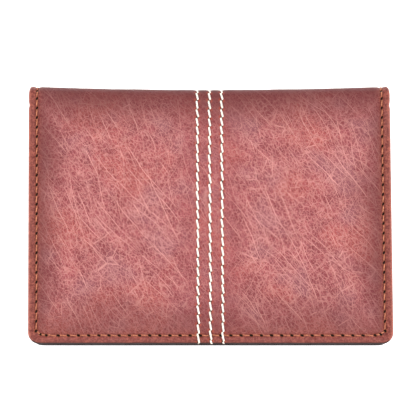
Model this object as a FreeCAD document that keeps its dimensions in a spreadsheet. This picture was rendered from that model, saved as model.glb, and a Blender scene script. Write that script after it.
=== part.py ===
import FreeCAD
import Part
import Sketcher

import math
import os

# Fold-over business card case in leather, lying closed on its back cover.
# +X runs along the fold, +Y points at the fold, +Z points out of the front cover.
# The origin is the middle of the bounding box, at the height of the rest face.

SIZES = {
    # whole case, closed
    "case_width": 108.0,
    "case_length": 77.6,
    "case_height": 12.5,
    "fold_radius": 4.0,
    "corner_radius": 3.5,
    "edge_radius": 0.75,
    "turned_edge_radius": 0.5,
    # how far round each fold corner the cover ends and the spine starts, in degrees
    "cover_fold_angle": 42.5,
    "spine_fold_angle": 47.5,
    # layers
    "leather_thickness": 1.0,
    "turned_edge_thickness": 0.6,
    "turned_edge_width": 8.0,
    "lining_thickness": 0.4,
    "lining_inset": 1.0,
    "slot_panel_thickness": 0.6,
    "pocket_panel_thickness": 0.8,
    "gusset_thickness": 0.5,
    "halves_gap": 0.3,
    # stitching round the edge
    "stitch_pitch": 2.9,
    "stitch_length": 2.3,
    "stitch_width": 0.5,
    "stitch_height": 0.3,
    "stitch_inset": 2.5,
    "seam_groove_width": 0.6,
    "side_stitches": 24,
    "end_stitches": 35,
    "spine_stitches": 3,
    # three accent lines of thicker thread down the middle
    "accent_spacing": 3.65,
    "accent_pitch": 2.89,
    "accent_length": 2.35,
    "accent_width": 0.65,
    "accent_height": 0.35,
    "accent_groove_width": 0.8,
    "accent_stitches": 24,
    "accent_end_length": 1.6,
    # heights of the pockets, in stitches of the side seam below each mouth
    "pocket_mouth_stitches": 18,
    "slip_mouth_stitches": 21,
    "front_slot_stitches": 16,
    "rear_slot_stitches": 20,
    # gusset pocket
    "pocket_panel_inset": 3.0,
    "pocket_seam_inset": 0.9,
    "gusset_tab_inset": 4.7,
    "gusset_fold_depth": 4.1,
    "pocket_side_stitches": 17,
    "pocket_end_stitches": 34,
    "thumb_notch_radius": 10.0,
    "pocket_corner_radius": 3.0,
}

DERIVED = {
    "half_width": "case_width / 2",
    "half_length": "case_length / 2",
    "fold_start": "case_length / 2 - fold_radius",
    "board_half_width": "case_width / 2 - turned_edge_width",
    "board_start": "turned_edge_width - case_length / 2",
    "inner_half_width": "case_width / 2 - lining_inset",
    "inner_start": "lining_inset - case_length / 2",
    "lining_base": "leather_thickness + turned_edge_thickness",
    "cover_thickness": "leather_thickness + turned_edge_thickness + lining_thickness",
    "seam_half_width": "case_width / 2 - stitch_inset",
    "seam_start": "stitch_inset - case_length / 2",
    "first_stitch": "stitch_inset - case_length / 2 + stitch_pitch / 2",
    "pocket_floor": "cover_thickness + slot_panel_thickness",
    "pocket_roof": "case_height - cover_thickness - 2 * slot_panel_thickness"
                   " - halves_gap - pocket_panel_thickness",
    "pocket_mouth": "first_stitch + (pocket_mouth_stitches - 0.5) * stitch_pitch",
    "slip_mouth": "first_stitch + (slip_mouth_stitches - 0.5) * stitch_pitch",
    "front_slot_mouth": "first_stitch + (front_slot_stitches - 0.5) * stitch_pitch",
    "rear_slot_mouth": "first_stitch + (rear_slot_stitches - 0.5) * stitch_pitch",
}

CLOSE = 1e-4
UP = FreeCAD.Vector(0, 0, 1)
QUARTER = math.pi / 2
ACCENT_LINES = {"left": -1, "middle": 0, "right": 1}


# ---- sheet of sizes ----

def add_cell(sheet, row, alias, content):
    sheet.set(f"A{row}", alias)
    sheet.set(f"B{row}", content)
    sheet.setAlias(f"B{row}", alias)


def make_sheet(doc):
    sheet = doc.addObject("Spreadsheet::Sheet", "sizes")
    for row, (alias, value) in enumerate(SIZES.items(), start=1):
        add_cell(sheet, row, alias, str(value))
    for row, (alias, formula) in enumerate(DERIVED.items(), start=len(SIZES) + 1):
        add_cell(sheet, row, alias, "=" + formula)
        doc.recompute()
    return sheet


def size(name):
    """The expression that reads one cell, or several in a formula with {name} marks."""
    if "{" not in name:
        return "sizes." + name
    return name.replace("{", "sizes.").replace("}", "")


# ---- sketches and features ----

def new_body(doc, label):
    body = doc.addObject("PartDesign::Body", label)
    body.Label = label
    return body


def origin_feature(body, role):
    return next(item for item in body.Origin.OriginFeatures if item.Role == role)


def new_sketch(body, name, plane, lift=None):
    """A sketch on one origin plane of its body, lifted along the plane's normal."""
    sketch = body.newObject("Sketcher::SketchObject", name)
    sketch.AttachmentSupport = (origin_feature(body, plane), [""])
    sketch.MapMode = "FlatFace"
    if lift is not None:
        sketch.setExpression("AttachmentOffset.Base.z", lift)
    return sketch


def number(sketch, formula):
    """What an expression is worth now, as a plain number."""
    found = sketch.evalExpression(formula)
    return float(getattr(found, "Value", found))


def bind(sketch, kind, *where):
    """Adds one constraint whose value is an expression, the last item of where."""
    *places, formula = where
    value = number(sketch, formula)
    index = sketch.addConstraint(Sketcher.Constraint(kind, *places, value))
    sketch.setExpression(f"Constraints[{index}]", formula)


def bind_angle(sketch, line, degrees):
    """Sets the direction of a line from an expression in degrees."""
    value = math.radians(number(sketch, degrees))
    index = sketch.addConstraint(Sketcher.Constraint("Angle", line, value))
    sketch.setExpression(f"Constraints[{index}]", f"({degrees}) * 1 deg")


def around(centre, radius, angle):
    """The point at an angle, in radians, on a circle in a sketch."""
    return centre + FreeCAD.Vector(math.cos(angle), math.sin(angle), 0) * radius


def arc(sketch, centre, radius, start, end):
    circle = Part.Circle(centre, UP, radius)
    sketch.addGeometry(Part.ArcOfCircle(circle, start, end))


def polyline(sketch, corners, closed=True):
    """Straight lines through corners, each corner placed by a pair of expressions."""
    points = [FreeCAD.Vector(number(sketch, x), number(sketch, y), 0) for x, y in corners]
    count = len(corners) if closed else len(corners) - 1
    for index in range(count):
        ends = (points[index], points[(index + 1) % len(points)])
        sketch.addGeometry(Part.LineSegment(*ends))
    joints = range(count) if closed else range(count - 1)
    for index in joints:
        following = (index + 1) % count
        sketch.addConstraint(Sketcher.Constraint("Coincident", index, 2, following, 1))
    for index, (x, y) in enumerate(corners):
        line, end = (index, 1) if index < count else (count - 1, 2)
        bind(sketch, "DistanceX", -1, 1, line, end, x)
        bind(sketch, "DistanceY", -1, 1, line, end, y)


def rectangle(sketch, left, right, low, high):
    polyline(sketch, [(left, low), (right, low), (right, high), (left, high)])


def u_strip(sketch, outer_half, outer_low, inner_half, inner_low, high):
    """A strip along the left, lower and right sides, open at the top."""
    polyline(sketch, [
        (f"-({outer_half})", outer_low), (outer_half, outer_low), (outer_half, high),
        (inner_half, high), (inner_half, inner_low), (f"-({inner_half})", inner_low),
        (f"-({inner_half})", high), (f"-({outer_half})", high),
    ])


def pad(body, name, sketch, length, both_ways=False):
    feature = body.newObject("PartDesign::Pad", name)
    feature.Profile = sketch
    feature.setExpression("Length", length)
    if both_ways:
        feature.SideType = "Symmetric"
    return feature


def pocket(body, name, sketch, length, flip=False):
    """A cut from the sketch into the solid; flip cuts along the sketch's normal."""
    body.Document.recompute()
    before = body.Shape.Volume
    feature = body.newObject("PartDesign::Pocket", name)
    feature.Profile = sketch
    feature.setExpression("Length", length)
    feature.Reversed = flip
    body.Document.recompute()
    if body.Shape.Volume >= before - CLOSE:
        raise RuntimeError(name + " cuts nothing")
    return feature


def round_edges(body, name, radius, chosen):
    """Fillets the edges of the newest feature for which chosen(bounding box) is true."""
    body.Document.recompute()
    base = body.Tip
    names = [
        f"Edge{number}" for number, edge in enumerate(base.Shape.Edges, start=1)
        if chosen(edge.BoundBox)
    ]
    if not names:
        raise RuntimeError(name + " finds no edge")
    feature = body.newObject("PartDesign::Fillet", name)
    feature.Base = (base, names)
    feature.setExpression("Radius", radius)
    body.Tip = feature
    return feature


def flip_over(body):
    """Turns a body made for the back cover over, into its place in the front cover."""
    turn = FreeCAD.Rotation(FreeCAD.Vector(0, 1, 0), 180)
    body.Placement = FreeCAD.Placement(FreeCAD.Vector(0, 0, 0), turn)
    body.setExpression("Placement.Base.z", size("case_height"))


# ---- outer leather ----

def cover_section(sketch):
    """Flat cover with the start of the fold's curve, seen from the side."""
    start = size("fold_start")
    radius = size("fold_radius")
    inner_radius = size("{fold_radius} - {leather_thickness}")
    reach = number(sketch, start)
    outer = number(sketch, radius)
    inner = number(sketch, inner_radius)
    depth = outer - inner
    back = -number(sketch, size("half_length"))
    end = math.radians(number(sketch, size("cover_fold_angle"))) - QUARTER
    centre = FreeCAD.Vector(reach, outer, 0)
    corner = FreeCAD.Vector(back, 0, 0)
    inner_corner = FreeCAD.Vector(back, depth, 0)
    tangent = FreeCAD.Vector(reach, 0, 0)
    inner_tangent = FreeCAD.Vector(reach, depth, 0)
    sketch.addGeometry(Part.LineSegment(corner, tangent))
    arc(sketch, centre, outer, -QUARTER, end)
    ends = (around(centre, outer, end), around(centre, inner, end))
    sketch.addGeometry(Part.LineSegment(*ends))
    arc(sketch, centre, inner, -QUARTER, end)
    sketch.addGeometry(Part.LineSegment(inner_tangent, inner_corner))
    sketch.addGeometry(Part.LineSegment(inner_corner, corner))
    outside, curve, cut, inner_curve, inside, edge = range(6)
    rule = Sketcher.Constraint
    sketch.addConstraint([
        rule("Tangent", outside, 2, curve, 1),
        rule("Coincident", curve, 2, cut, 1),
        rule("Coincident", cut, 2, inner_curve, 2),
        rule("Coincident", curve, 3, inner_curve, 3),
        rule("PointOnObject", curve, 3, cut),
        rule("Tangent", inner_curve, 1, inside, 1),
        rule("Coincident", inside, 2, edge, 1),
        rule("Coincident", edge, 2, outside, 1),
        rule("Horizontal", outside),
        rule("Horizontal", inside),
        rule("Vertical", edge),
        rule("PointOnObject", outside, 1, -1),
    ])
    bind(sketch, "DistanceX", -1, 1, outside, 1, f"-({size('half_length')})")
    bind(sketch, "DistanceX", -1, 1, outside, 2, start)
    bind(sketch, "Radius", curve, radius)
    bind(sketch, "Radius", inner_curve, inner_radius)
    bind_angle(sketch, cut, f"90 + {size('cover_fold_angle')}")


def make_cover_leather(doc, label):
    """One cover: outer leather with its edge turned in, and grooves for the thread."""
    body = new_body(doc, label)
    section = new_sketch(body, label + "_section", "YZ_Plane")
    cover_section(section)
    pad(body, label + "_sheet", section, size("case_width"), both_ways=True)

    turned = new_sketch(body, label + "_turned", "XY_Plane", size("leather_thickness"))
    u_strip(turned, size("half_width"), f"-({size('half_length')})",
            size("board_half_width"), size("board_start"), size("fold_start"))
    pad(body, label + "_turned_edge", turned, size("turned_edge_thickness"))
    doc.recompute()

    half_width = doc.sizes.half_width
    half_length = doc.sizes.half_length
    top = doc.sizes.lining_base

    def at_corner(box):
        upright = box.XLength < CLOSE and box.YLength < CLOSE
        return upright and abs(abs(box.XMax) - half_width) < CLOSE \
            and abs(box.YMin + half_length) < CLOSE

    round_edges(body, label + "_corners", size("corner_radius"), at_corner)
    doc.recompute()

    def on_rim(box, height):
        outermost = max(abs(box.XMax), abs(box.XMin)) > half_width - CLOSE
        outermost = outermost or box.YMin < CLOSE - half_length
        flat = box.ZLength < CLOSE and abs(box.ZMin - height) < CLOSE
        crosses = box.YLength < CLOSE and box.YMin > 0
        return outermost and flat and not crosses

    round_edges(body, label + "_rim", size("edge_radius"), lambda box: on_rim(box, 0))
    round_edges(body, label + "_turned_rim", size("turned_edge_radius"),
                lambda box: on_rim(box, top))
    cut_cover_grooves(body, label)
    return body


def cut_cover_grooves(body, label):
    """The channels in the outer face that the edge and accent threads lie in."""
    half_groove = "{seam_groove_width} / 2"
    seam = new_sketch(body, label + "_seam_line", "XY_Plane")
    u_strip(seam,
            size("{seam_half_width} + " + half_groove), size("{seam_start} - " + half_groove),
            size("{seam_half_width} - " + half_groove), size("{seam_start} + " + half_groove),
            size("fold_start"))
    pocket(body, label + "_seam_groove", seam, size("stitch_height"), flip=True)
    for side, place in ACCENT_LINES.items():
        line = new_sketch(body, f"{label}_accent_line_{side}", "XY_Plane")
        middle = f"{place} * " + size("accent_spacing")
        half = size("accent_groove_width") + " / 2"
        rectangle(line, f"{middle} - {half}", f"{middle} + {half}",
                  f"-({size('half_length')})", size("fold_start"))
        pocket(body, f"{label}_accent_groove_{side}", line, size("accent_height"), flip=True)


def spine_shell(doc, label, outer_inset, thickness):
    """A strip bent round both fold corners, set outer_inset in from the fold's surface."""
    body = new_body(doc, label)
    section = new_sketch(body, label + "_section", "YZ_Plane")
    outer_radius = f"{size('fold_radius')} - ({outer_inset})"
    inner_radius = f"{outer_radius} - {thickness}"
    start = size("fold_start")
    high = size("{case_height} - {fold_radius}")
    radii = (number(section, outer_radius), number(section, inner_radius))
    reach = QUARTER - math.radians(number(section, size("spine_fold_angle")))
    low_centre = FreeCAD.Vector(number(section, start), number(section, size("fold_radius")), 0)
    high_centre = FreeCAD.Vector(low_centre.x, number(section, high), 0)

    for radius in radii:
        arc(section, low_centre, radius, -reach, 0)
        straight = (around(low_centre, radius, 0), around(high_centre, radius, 0))
        section.addGeometry(Part.LineSegment(*straight))
        arc(section, high_centre, radius, 0, reach)
    for centre, angle in ((low_centre, -reach), (high_centre, reach)):
        ends = [around(centre, radius, angle) for radius in radii]
        section.addGeometry(Part.LineSegment(*ends))

    rule = Sketcher.Constraint
    low, wall, top, inner_low, inner_wall, inner_top, low_cut, high_cut = range(8)
    for first, middle, last in ((low, wall, top), (inner_low, inner_wall, inner_top)):
        section.addConstraint([
            rule("Tangent", first, 2, middle, 1),
            rule("Tangent", middle, 2, last, 1),
            rule("Vertical", middle),
        ])
    section.addConstraint([
        rule("Coincident", low, 1, low_cut, 1),
        rule("Coincident", inner_low, 1, low_cut, 2),
        rule("Coincident", top, 2, high_cut, 1),
        rule("Coincident", inner_top, 2, high_cut, 2),
        rule("Coincident", low, 3, inner_low, 3),
        rule("Coincident", top, 3, inner_top, 3),
        rule("PointOnObject", low, 3, low_cut),
        rule("PointOnObject", top, 3, high_cut),
    ])
    bind(section, "DistanceX", -1, 1, low, 3, start)
    bind(section, "DistanceY", -1, 1, low, 3, size("fold_radius"))
    bind(section, "DistanceY", -1, 1, top, 3, high)
    bind(section, "Radius", low, outer_radius)
    bind(section, "Radius", inner_low, inner_radius)
    bind_angle(section, low_cut, f"90 + {size('spine_fold_angle')}")
    bind_angle(section, high_cut, f"-90 - {size('spine_fold_angle')}")
    return body, section


def make_spine_leather(doc):
    label = "spine_leather"
    body, section = spine_shell(doc, label, "0", size("leather_thickness"))
    pad(body, label + "_sheet", section, size("case_width"), both_ways=True)
    surface = f"-({size('half_length')})"
    low, high = spine_groove_ends("stitch_pitch")
    half = size("seam_groove_width") + " / 2"
    for side, sign in (("left", "-1"), ("right", "1")):
        line = new_sketch(body, f"{label}_seam_line_{side}", "XZ_Plane", surface)
        middle = f"{sign} * " + size("seam_half_width")
        rectangle(line, f"{middle} - {half}", f"{middle} + {half}", low, high)
        pocket(body, f"{label}_seam_groove_{side}", line, size("stitch_height"), flip=True)
    low, high = spine_groove_ends("accent_pitch")
    half = size("accent_groove_width") + " / 2"
    for side, place in ACCENT_LINES.items():
        line = new_sketch(body, f"{label}_accent_line_{side}", "XZ_Plane", surface)
        middle = f"{place} * " + size("accent_spacing")
        rectangle(line, f"{middle} - {half}", f"{middle} + {half}", low, high)
        pocket(body, f"{label}_accent_groove_{side}", line, size("accent_height"), flip=True)
    return body


def spine_groove_ends(pitch):
    """The heights between which a groove holds all the spine's stitches of one pitch."""
    reach = f"{size('spine_stitches')} * {size(pitch)} / 2"
    middle = f"{size('case_height')} / 2"
    return f"{middle} - {reach}", f"{middle} + {reach}"


def make_spine_lining(doc):
    label = "spine_lining"
    body, section = spine_shell(doc, label, size("leather_thickness"), size("lining_thickness"))
    width = size("2 * {inner_half_width}")
    pad(body, label + "_sheet", section, width, both_ways=True)
    return body


# ---- flat panels ----

def make_panel(doc, label, half_width, low, high, base, thickness, corner=None):
    """A flat rectangle of material, its two outer corners rounded if corner is given."""
    body = new_body(doc, label)
    outline = new_sketch(body, label + "_outline", "XY_Plane", base)
    rectangle(outline, f"-({half_width})", half_width, low, high)
    pad(body, label + "_sheet", outline, thickness)
    if corner is not None:
        doc.recompute()
        bottom = body.Shape.BoundBox.YMin

        def at_corner(box):
            return box.XLength < CLOSE and box.YLength < CLOSE and box.YMin < bottom + CLOSE

        round_edges(body, label + "_corners", corner, at_corner)
    return body


def make_stiffener(doc, label):
    return make_panel(doc, label, size("board_half_width"), size("board_start"),
                      size("{fold_start} - {lining_inset}"), size("leather_thickness"),
                      size("turned_edge_thickness"))


def make_lining(doc, label):
    return make_panel(doc, label, size("inner_half_width"), size("inner_start"),
                      size("{fold_start} - {lining_inset}"), size("lining_base"),
                      size("lining_thickness"), size("{corner_radius} - {lining_inset}"))


def make_slot_panel(doc, label, mouth, base):
    return make_panel(doc, label, size("inner_half_width"), size("inner_start"), mouth, base,
                      size("slot_panel_thickness"), size("{corner_radius} - {lining_inset}"))


def make_pocket_front(doc):
    """The outer wall of the gusset pocket, with a thumb notch in its mouth."""
    label = "pocket_front_panel"
    half_width = size("{half_width} - {pocket_panel_inset}")
    low = size("{pocket_panel_inset} - {half_length}")
    body = make_panel(doc, label, half_width, low, size("pocket_mouth"), size("pocket_roof"),
                      size("pocket_panel_thickness"), size("pocket_corner_radius"))
    top = size("{pocket_roof} + {pocket_panel_thickness}")
    notch = new_sketch(body, label + "_notch_line", "XY_Plane", top)
    centre = FreeCAD.Vector(0, number(notch, size("pocket_mouth")), 0)
    radius = number(notch, size("thumb_notch_radius"))
    notch.addGeometry(Part.Circle(centre, UP, radius))
    notch.addConstraint(Sketcher.Constraint("PointOnObject", 0, 3, -2))
    bind(notch, "DistanceY", -1, 1, 0, 3, size("pocket_mouth"))
    bind(notch, "Radius", 0, size("thumb_notch_radius"))
    pocket(body, label + "_notch", notch, size("pocket_panel_thickness"))

    seam = new_sketch(body, label + "_seam_line", "XY_Plane", top)
    half = "{seam_groove_width} / 2"
    u_strip(seam,
            size("{half_width} - {pocket_panel_inset} - {pocket_seam_inset} + " + half),
            size("{pocket_panel_inset} + {pocket_seam_inset} - {half_length} - " + half),
            size("{half_width} - {pocket_panel_inset} - {pocket_seam_inset} - " + half),
            size("{pocket_panel_inset} + {pocket_seam_inset} - {half_length} + " + half),
            size("pocket_mouth"))
    pocket(body, label + "_seam_groove", seam, size("stitch_height"))
    return body


def make_gusset(doc):
    """The folded strip that lets the pocket swell: a V on its side, along three sides."""
    label = "pocket_gusset"
    body = new_body(doc, label)
    route = new_sketch(body, label + "_route", "XY_Plane", size("pocket_floor"))
    side = size("{half_width} - {gusset_tab_inset}")
    low = size("{gusset_tab_inset} - {half_length}")
    mouth = size("pocket_mouth")
    polyline(route, [(side, mouth), (side, low), (f"-({side})", low), (f"-({side})", mouth)],
             closed=False)

    section = new_sketch(body, label + "_section", "XZ_Plane", f"-({mouth})")
    floor = size("pocket_floor")
    roof = size("pocket_roof")
    skin = size("gusset_thickness")
    edge = size("inner_half_width")
    panel_edge = size("{half_width} - {pocket_panel_inset}")
    fold = f"{side} - {size('gusset_fold_depth')}"
    middle = f"({floor} + {roof}) / 2"
    polyline(section, [
        (edge, floor), (edge, f"{floor} + {skin}"), (side, f"{floor} + {skin}"),
        (f"{fold} + {skin}", middle), (side, f"{roof} - {skin}"),
        (panel_edge, f"{roof} - {skin}"), (panel_edge, roof), (f"{side} - {skin} / 2", roof),
        (f"{fold} - {skin} / 2", middle), (f"{side} - {skin} / 2", floor),
    ])
    pipe = body.newObject("PartDesign::AdditivePipe", label + "_strip")
    pipe.Profile = section
    pipe.Spine = (route, [])
    pipe.Transition = "Right corner"
    return body


# ---- thread ----

def stitch_outline(sketch, middle, along, length, width):
    """One stitch seen from above: a slot centred on middle, along the x or y direction."""
    centre = FreeCAD.Vector(*(number(sketch, part) for part in middle), 0)
    radius = number(sketch, width) / 2
    straight = number(sketch, length) - 2 * radius
    if along == "x":
        ahead, aside, turn = FreeCAD.Vector(1, 0, 0), FreeCAD.Vector(0, 1, 0), 0.0
    else:
        ahead, aside, turn = FreeCAD.Vector(0, 1, 0), FreeCAD.Vector(-1, 0, 0), QUARTER
    first = centre - ahead * (straight / 2)
    last = centre + ahead * (straight / 2)
    sketch.addGeometry(Part.LineSegment(first - aside * radius, last - aside * radius))
    arc(sketch, last, radius, turn - QUARTER, turn + QUARTER)
    sketch.addGeometry(Part.LineSegment(last + aside * radius, first + aside * radius))
    arc(sketch, first, radius, turn + QUARTER, turn + 3 * QUARTER)
    rule = Sketcher.Constraint
    sketch.addConstraint([
        rule("Tangent", 0, 2, 1, 1),
        rule("Tangent", 1, 2, 2, 1),
        rule("Tangent", 2, 2, 3, 1),
        rule("Tangent", 3, 2, 0, 1),
        rule("Horizontal" if along == "x" else "Vertical", 0),
    ])
    bind(sketch, "Radius", 1, f"{width} / 2")
    across, forward = ("Y", "X") if along == "x" else ("X", "Y")
    place = {"X": middle[0], "Y": middle[1]}
    half = f"({length} - {width}) / 2"
    bind(sketch, "Distance" + across, -1, 1, 1, 3, place[across])
    bind(sketch, "Distance" + forward, -1, 1, 1, 3, f"{place[forward]} + {half}")
    bind(sketch, "Distance" + forward, -1, 1, 3, 3, f"{place[forward]} - {half}")


class Thread:
    """A node of separate stitches, added row by row."""

    def __init__(self, doc, label, length="stitch_length", width="stitch_width",
                 height="stitch_height", pitch="stitch_pitch"):
        self.body = new_body(doc, label)
        self.label = label
        self.length = size(length)
        self.width = size(width)
        self.height = size(height)
        self.pitch = size(pitch)
        self.rows = 0

    def row(self, plane, lift, middle, along, count, length=None, raised=True):
        """count stitches from middle on, a pitch apart along the sketch's x or y. With
        count None there is one stitch only."""
        self.rows += 1
        name = f"{self.label}_row{self.rows}"
        outline = new_sketch(self.body, name + "_outline", plane, lift)
        stitch_outline(outline, middle, along, length or self.length, self.width)
        stitch = pad(self.body, name + "_stitch", outline, self.height)
        stitch.Reversed = not raised
        self.body.Document.recompute()
        if count is None:
            return
        axis = "X_Axis" if along == "x" else ("Y_Axis" if plane == "XY_Plane" else "Z_Axis")
        pattern = self.body.newObject("PartDesign::LinearPattern", name)
        pattern.Originals = [stitch]
        pattern.Direction = (origin_feature(self.body, axis), [""])
        pattern.Mode = "Spacing"
        pattern.setExpression("Offset", self.pitch)
        pattern.setExpression("Occurrences", count)
        self.body.Tip = pattern
        self.body.Document.recompute()


def make_edge_thread(doc, label):
    """The outer thread round three edges of one cover, lying in its groove."""
    thread = Thread(doc, label)
    end_row(thread, "0", size("seam_start"), size("end_stitches"))
    for sign in ("-1", "1"):
        middle = (f"{sign} * " + size("seam_half_width"), size("first_stitch"))
        thread.row("XY_Plane", "0", middle, "y", size("side_stitches"))
    return thread.body


def end_row(thread, lift, across, count):
    """A row along the free edge, centred on the case."""
    first = f"-({count} - 1) / 2 * {thread.pitch}"
    thread.row("XY_Plane", lift, (first, across), "x", count)


def make_inner_thread(doc, label, steps):
    """The inner thread of the edge seam. It steps down from panel to panel: steps lists
    each level's height and the number of side stitches that it reaches."""
    thread = Thread(doc, label)
    end_row(thread, steps[0][0], size("seam_start"), size("end_stitches"))
    done = "0"
    for lift, reached in steps:
        for sign in ("-1", "1"):
            start = f"{size('first_stitch')} + {done} * {size('stitch_pitch')}"
            middle = (f"{sign} * " + size("seam_half_width"), start)
            thread.row("XY_Plane", lift, middle, "y", f"{reached} - {done}")
        done = reached
    return thread.body


def make_accent_thread(doc, label, place):
    """One accent line down a cover, with a last short stitch over the free edge."""
    thread = Thread(doc, label, "accent_length", "accent_width", "accent_height",
                    "accent_pitch")
    across = f"{place} * " + size("accent_spacing")
    first = size("{fold_start} - {accent_pitch} * ({accent_stitches} - 0.5)")
    thread.row("XY_Plane", "0", (across, first), "y", size("accent_stitches"))
    last = size("{edge_radius} + {accent_end_length} / 2 - {half_length}")
    thread.row("XY_Plane", "0", (across, last), "y", None, length=size("accent_end_length"))
    return thread.body


def make_spine_thread(doc, label, places, spacing, names):
    """Stitches up the flat of the spine at each place, places being steps of spacing."""
    thread = Thread(doc, label, *names)
    lift = f"-({size('half_length')} - {thread.height})"
    count = size("spine_stitches")
    first = f"{size('case_height')} / 2 - ({count} - 1) / 2 * {thread.pitch}"
    for place in places:
        thread.row("XZ_Plane", lift, (f"{place} * {spacing}", first), "y", count, raised=False)
    return thread.body


def make_pocket_thread(doc):
    """The seam that holds the pocket's outer wall to its gusset."""
    thread = Thread(doc, "pocket_seam_thread")
    lift = size("{pocket_roof} + {pocket_panel_thickness} - {stitch_height}")
    inset = "{pocket_panel_inset} + {pocket_seam_inset}"
    low = size(inset + " - {half_length}")
    end_row(thread, lift, low, size("pocket_end_stitches"))
    for sign in ("-1", "1"):
        middle = (f"{sign} * ({size('{half_width} - (' + inset + ')')})",
                  f"{low} + {size('stitch_pitch')} / 2")
        thread.row("XY_Plane", lift, middle, "y", size("pocket_side_stitches"))
    return thread.body


# ---- the case ----

def make_case(doc):
    """Every sub-part, as a list of objects."""
    pieces = []
    fronts = []
    for half, group in (("back", pieces), ("front", fronts)):
        group.append(make_cover_leather(doc, half + "_cover_leather"))
        group.append(make_stiffener(doc, half + "_stiffener"))
        group.append(make_lining(doc, half + "_lining"))
        group.append(make_edge_thread(doc, half + "_edge_thread"))
        for side, place in ACCENT_LINES.items():
            group.append(make_accent_thread(doc, f"{half}_accent_thread_{side}", place))

    pieces.append(make_slot_panel(doc, "slip_pocket_panel", size("slip_mouth"),
                                  size("cover_thickness")))
    pieces.append(make_inner_thread(doc, "back_inner_thread", [
        (size("{pocket_floor} + {gusset_thickness}"), size("pocket_mouth_stitches")),
        (size("pocket_floor"), size("slip_mouth_stitches")),
        (size("cover_thickness"), size("side_stitches")),
    ]))
    pieces.append(make_gusset(doc))
    pieces.append(make_pocket_front(doc))
    pieces.append(make_pocket_thread(doc))

    second = size("{cover_thickness} + {slot_panel_thickness}")
    fronts.append(make_slot_panel(doc, "card_slot_rear_panel", size("rear_slot_mouth"),
                                  size("cover_thickness")))
    fronts.append(make_slot_panel(doc, "card_slot_front_panel", size("front_slot_mouth"),
                                  second))
    fronts.append(make_inner_thread(doc, "front_inner_thread", [
        (size("{cover_thickness} + 2 * {slot_panel_thickness}"), size("front_slot_stitches")),
        (second, size("rear_slot_stitches")),
        (size("cover_thickness"), size("side_stitches")),
    ]))
    for body in fronts:
        flip_over(body)

    spine = [make_spine_leather(doc), make_spine_lining(doc)]
    spine.append(make_spine_thread(doc, "spine_edge_thread", (-1, 1), size("seam_half_width"), ()))
    accent = ("accent_length", "accent_width", "accent_height", "accent_pitch")
    for side, place in ACCENT_LINES.items():
        spine.append(make_spine_thread(doc, f"spine_accent_thread_{side}", (place,),
                                       size("accent_spacing"), accent))
    return pieces + fronts + spine


def check_document(doc, pieces):
    failed = [
        item.Label for item in doc.Objects
        if "Invalid" in item.State or "Error" in item.State
    ]
    failed += [
        piece.Label for piece in pieces
        if piece.Shape.isNull() or not piece.Shape.isValid() or not piece.Shape.Solids
    ]
    if failed:
        raise RuntimeError("not built: " + ", ".join(failed))


def main():
    doc = FreeCAD.newDocument("card_case")
    make_sheet(doc)
    pieces = make_case(doc)
    doc.recompute()
    check_document(doc, pieces)
    os.makedirs("parts", exist_ok=True)
    for piece in pieces:
        piece.Shape.exportStep(os.path.join("parts", piece.Label + ".step"))
        box = piece.Shape.BoundBox
        print(f"{piece.Label}: {len(piece.Shape.Solids)} solids,"
              f" z {box.ZMin:.2f} to {box.ZMax:.2f}, {piece.Shape.Volume:.1f} mm3")


main()
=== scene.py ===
import math

import bmesh
import bpy
import numpy as np
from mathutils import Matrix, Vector


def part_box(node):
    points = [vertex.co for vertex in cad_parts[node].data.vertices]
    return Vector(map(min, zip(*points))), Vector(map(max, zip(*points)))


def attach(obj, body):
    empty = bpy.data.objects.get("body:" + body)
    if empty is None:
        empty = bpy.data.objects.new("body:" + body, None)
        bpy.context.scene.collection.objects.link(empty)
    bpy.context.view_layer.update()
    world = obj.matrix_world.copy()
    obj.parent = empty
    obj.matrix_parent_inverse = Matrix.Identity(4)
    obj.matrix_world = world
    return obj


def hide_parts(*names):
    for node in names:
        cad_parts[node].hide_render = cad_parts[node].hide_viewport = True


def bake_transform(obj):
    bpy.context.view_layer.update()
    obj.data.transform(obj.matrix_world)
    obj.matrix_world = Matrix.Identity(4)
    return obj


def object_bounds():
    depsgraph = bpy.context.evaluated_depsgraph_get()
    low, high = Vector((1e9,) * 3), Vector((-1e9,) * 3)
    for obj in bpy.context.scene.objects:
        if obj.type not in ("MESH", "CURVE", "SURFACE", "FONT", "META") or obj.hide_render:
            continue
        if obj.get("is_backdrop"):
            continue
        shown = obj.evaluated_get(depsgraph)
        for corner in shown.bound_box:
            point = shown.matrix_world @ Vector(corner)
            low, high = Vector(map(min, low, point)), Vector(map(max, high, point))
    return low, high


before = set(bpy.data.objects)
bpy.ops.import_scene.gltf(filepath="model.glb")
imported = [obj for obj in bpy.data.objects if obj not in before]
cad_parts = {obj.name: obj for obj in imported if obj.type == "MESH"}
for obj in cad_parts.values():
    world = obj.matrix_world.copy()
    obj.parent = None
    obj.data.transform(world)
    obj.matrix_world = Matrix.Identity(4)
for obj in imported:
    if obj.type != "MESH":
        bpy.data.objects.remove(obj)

cad_low, cad_high = (Vector(corner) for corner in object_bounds())

# Lengths below are in millimetres; mesh_piece() turns them into metres.
MM = 0.001
HALF_WIDTH = (cad_high.x - cad_low.x) / MM / 2
HALF_LENGTH = (cad_high.y - cad_low.y) / MM / 2
HEIGHT = (cad_high.z - cad_low.z) / MM

# The outer leather is measured along its own surface: u runs across the case and v runs
# from the free edge of a cover, over the fold corner, to the middle of the spine.
FOLD_RADIUS = 4.0
FLAT_LENGTH = 2 * HALF_LENGTH - FOLD_RADIUS
SPINE_V = FLAT_LENGTH + FOLD_RADIUS * math.pi / 2 + HEIGHT / 2 - FOLD_RADIUS

SEAM_INSET = 2.5
SEAM_LINE = HALF_WIDTH - SEAM_INSET
CORNER_HOLE_V = 3.8
SEAM_STEPS = 27
SEAM_PITCH = (SPINE_V - CORNER_HOLE_V) / SEAM_STEPS
END_STEPS = 31
END_PITCH = 3.0
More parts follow.
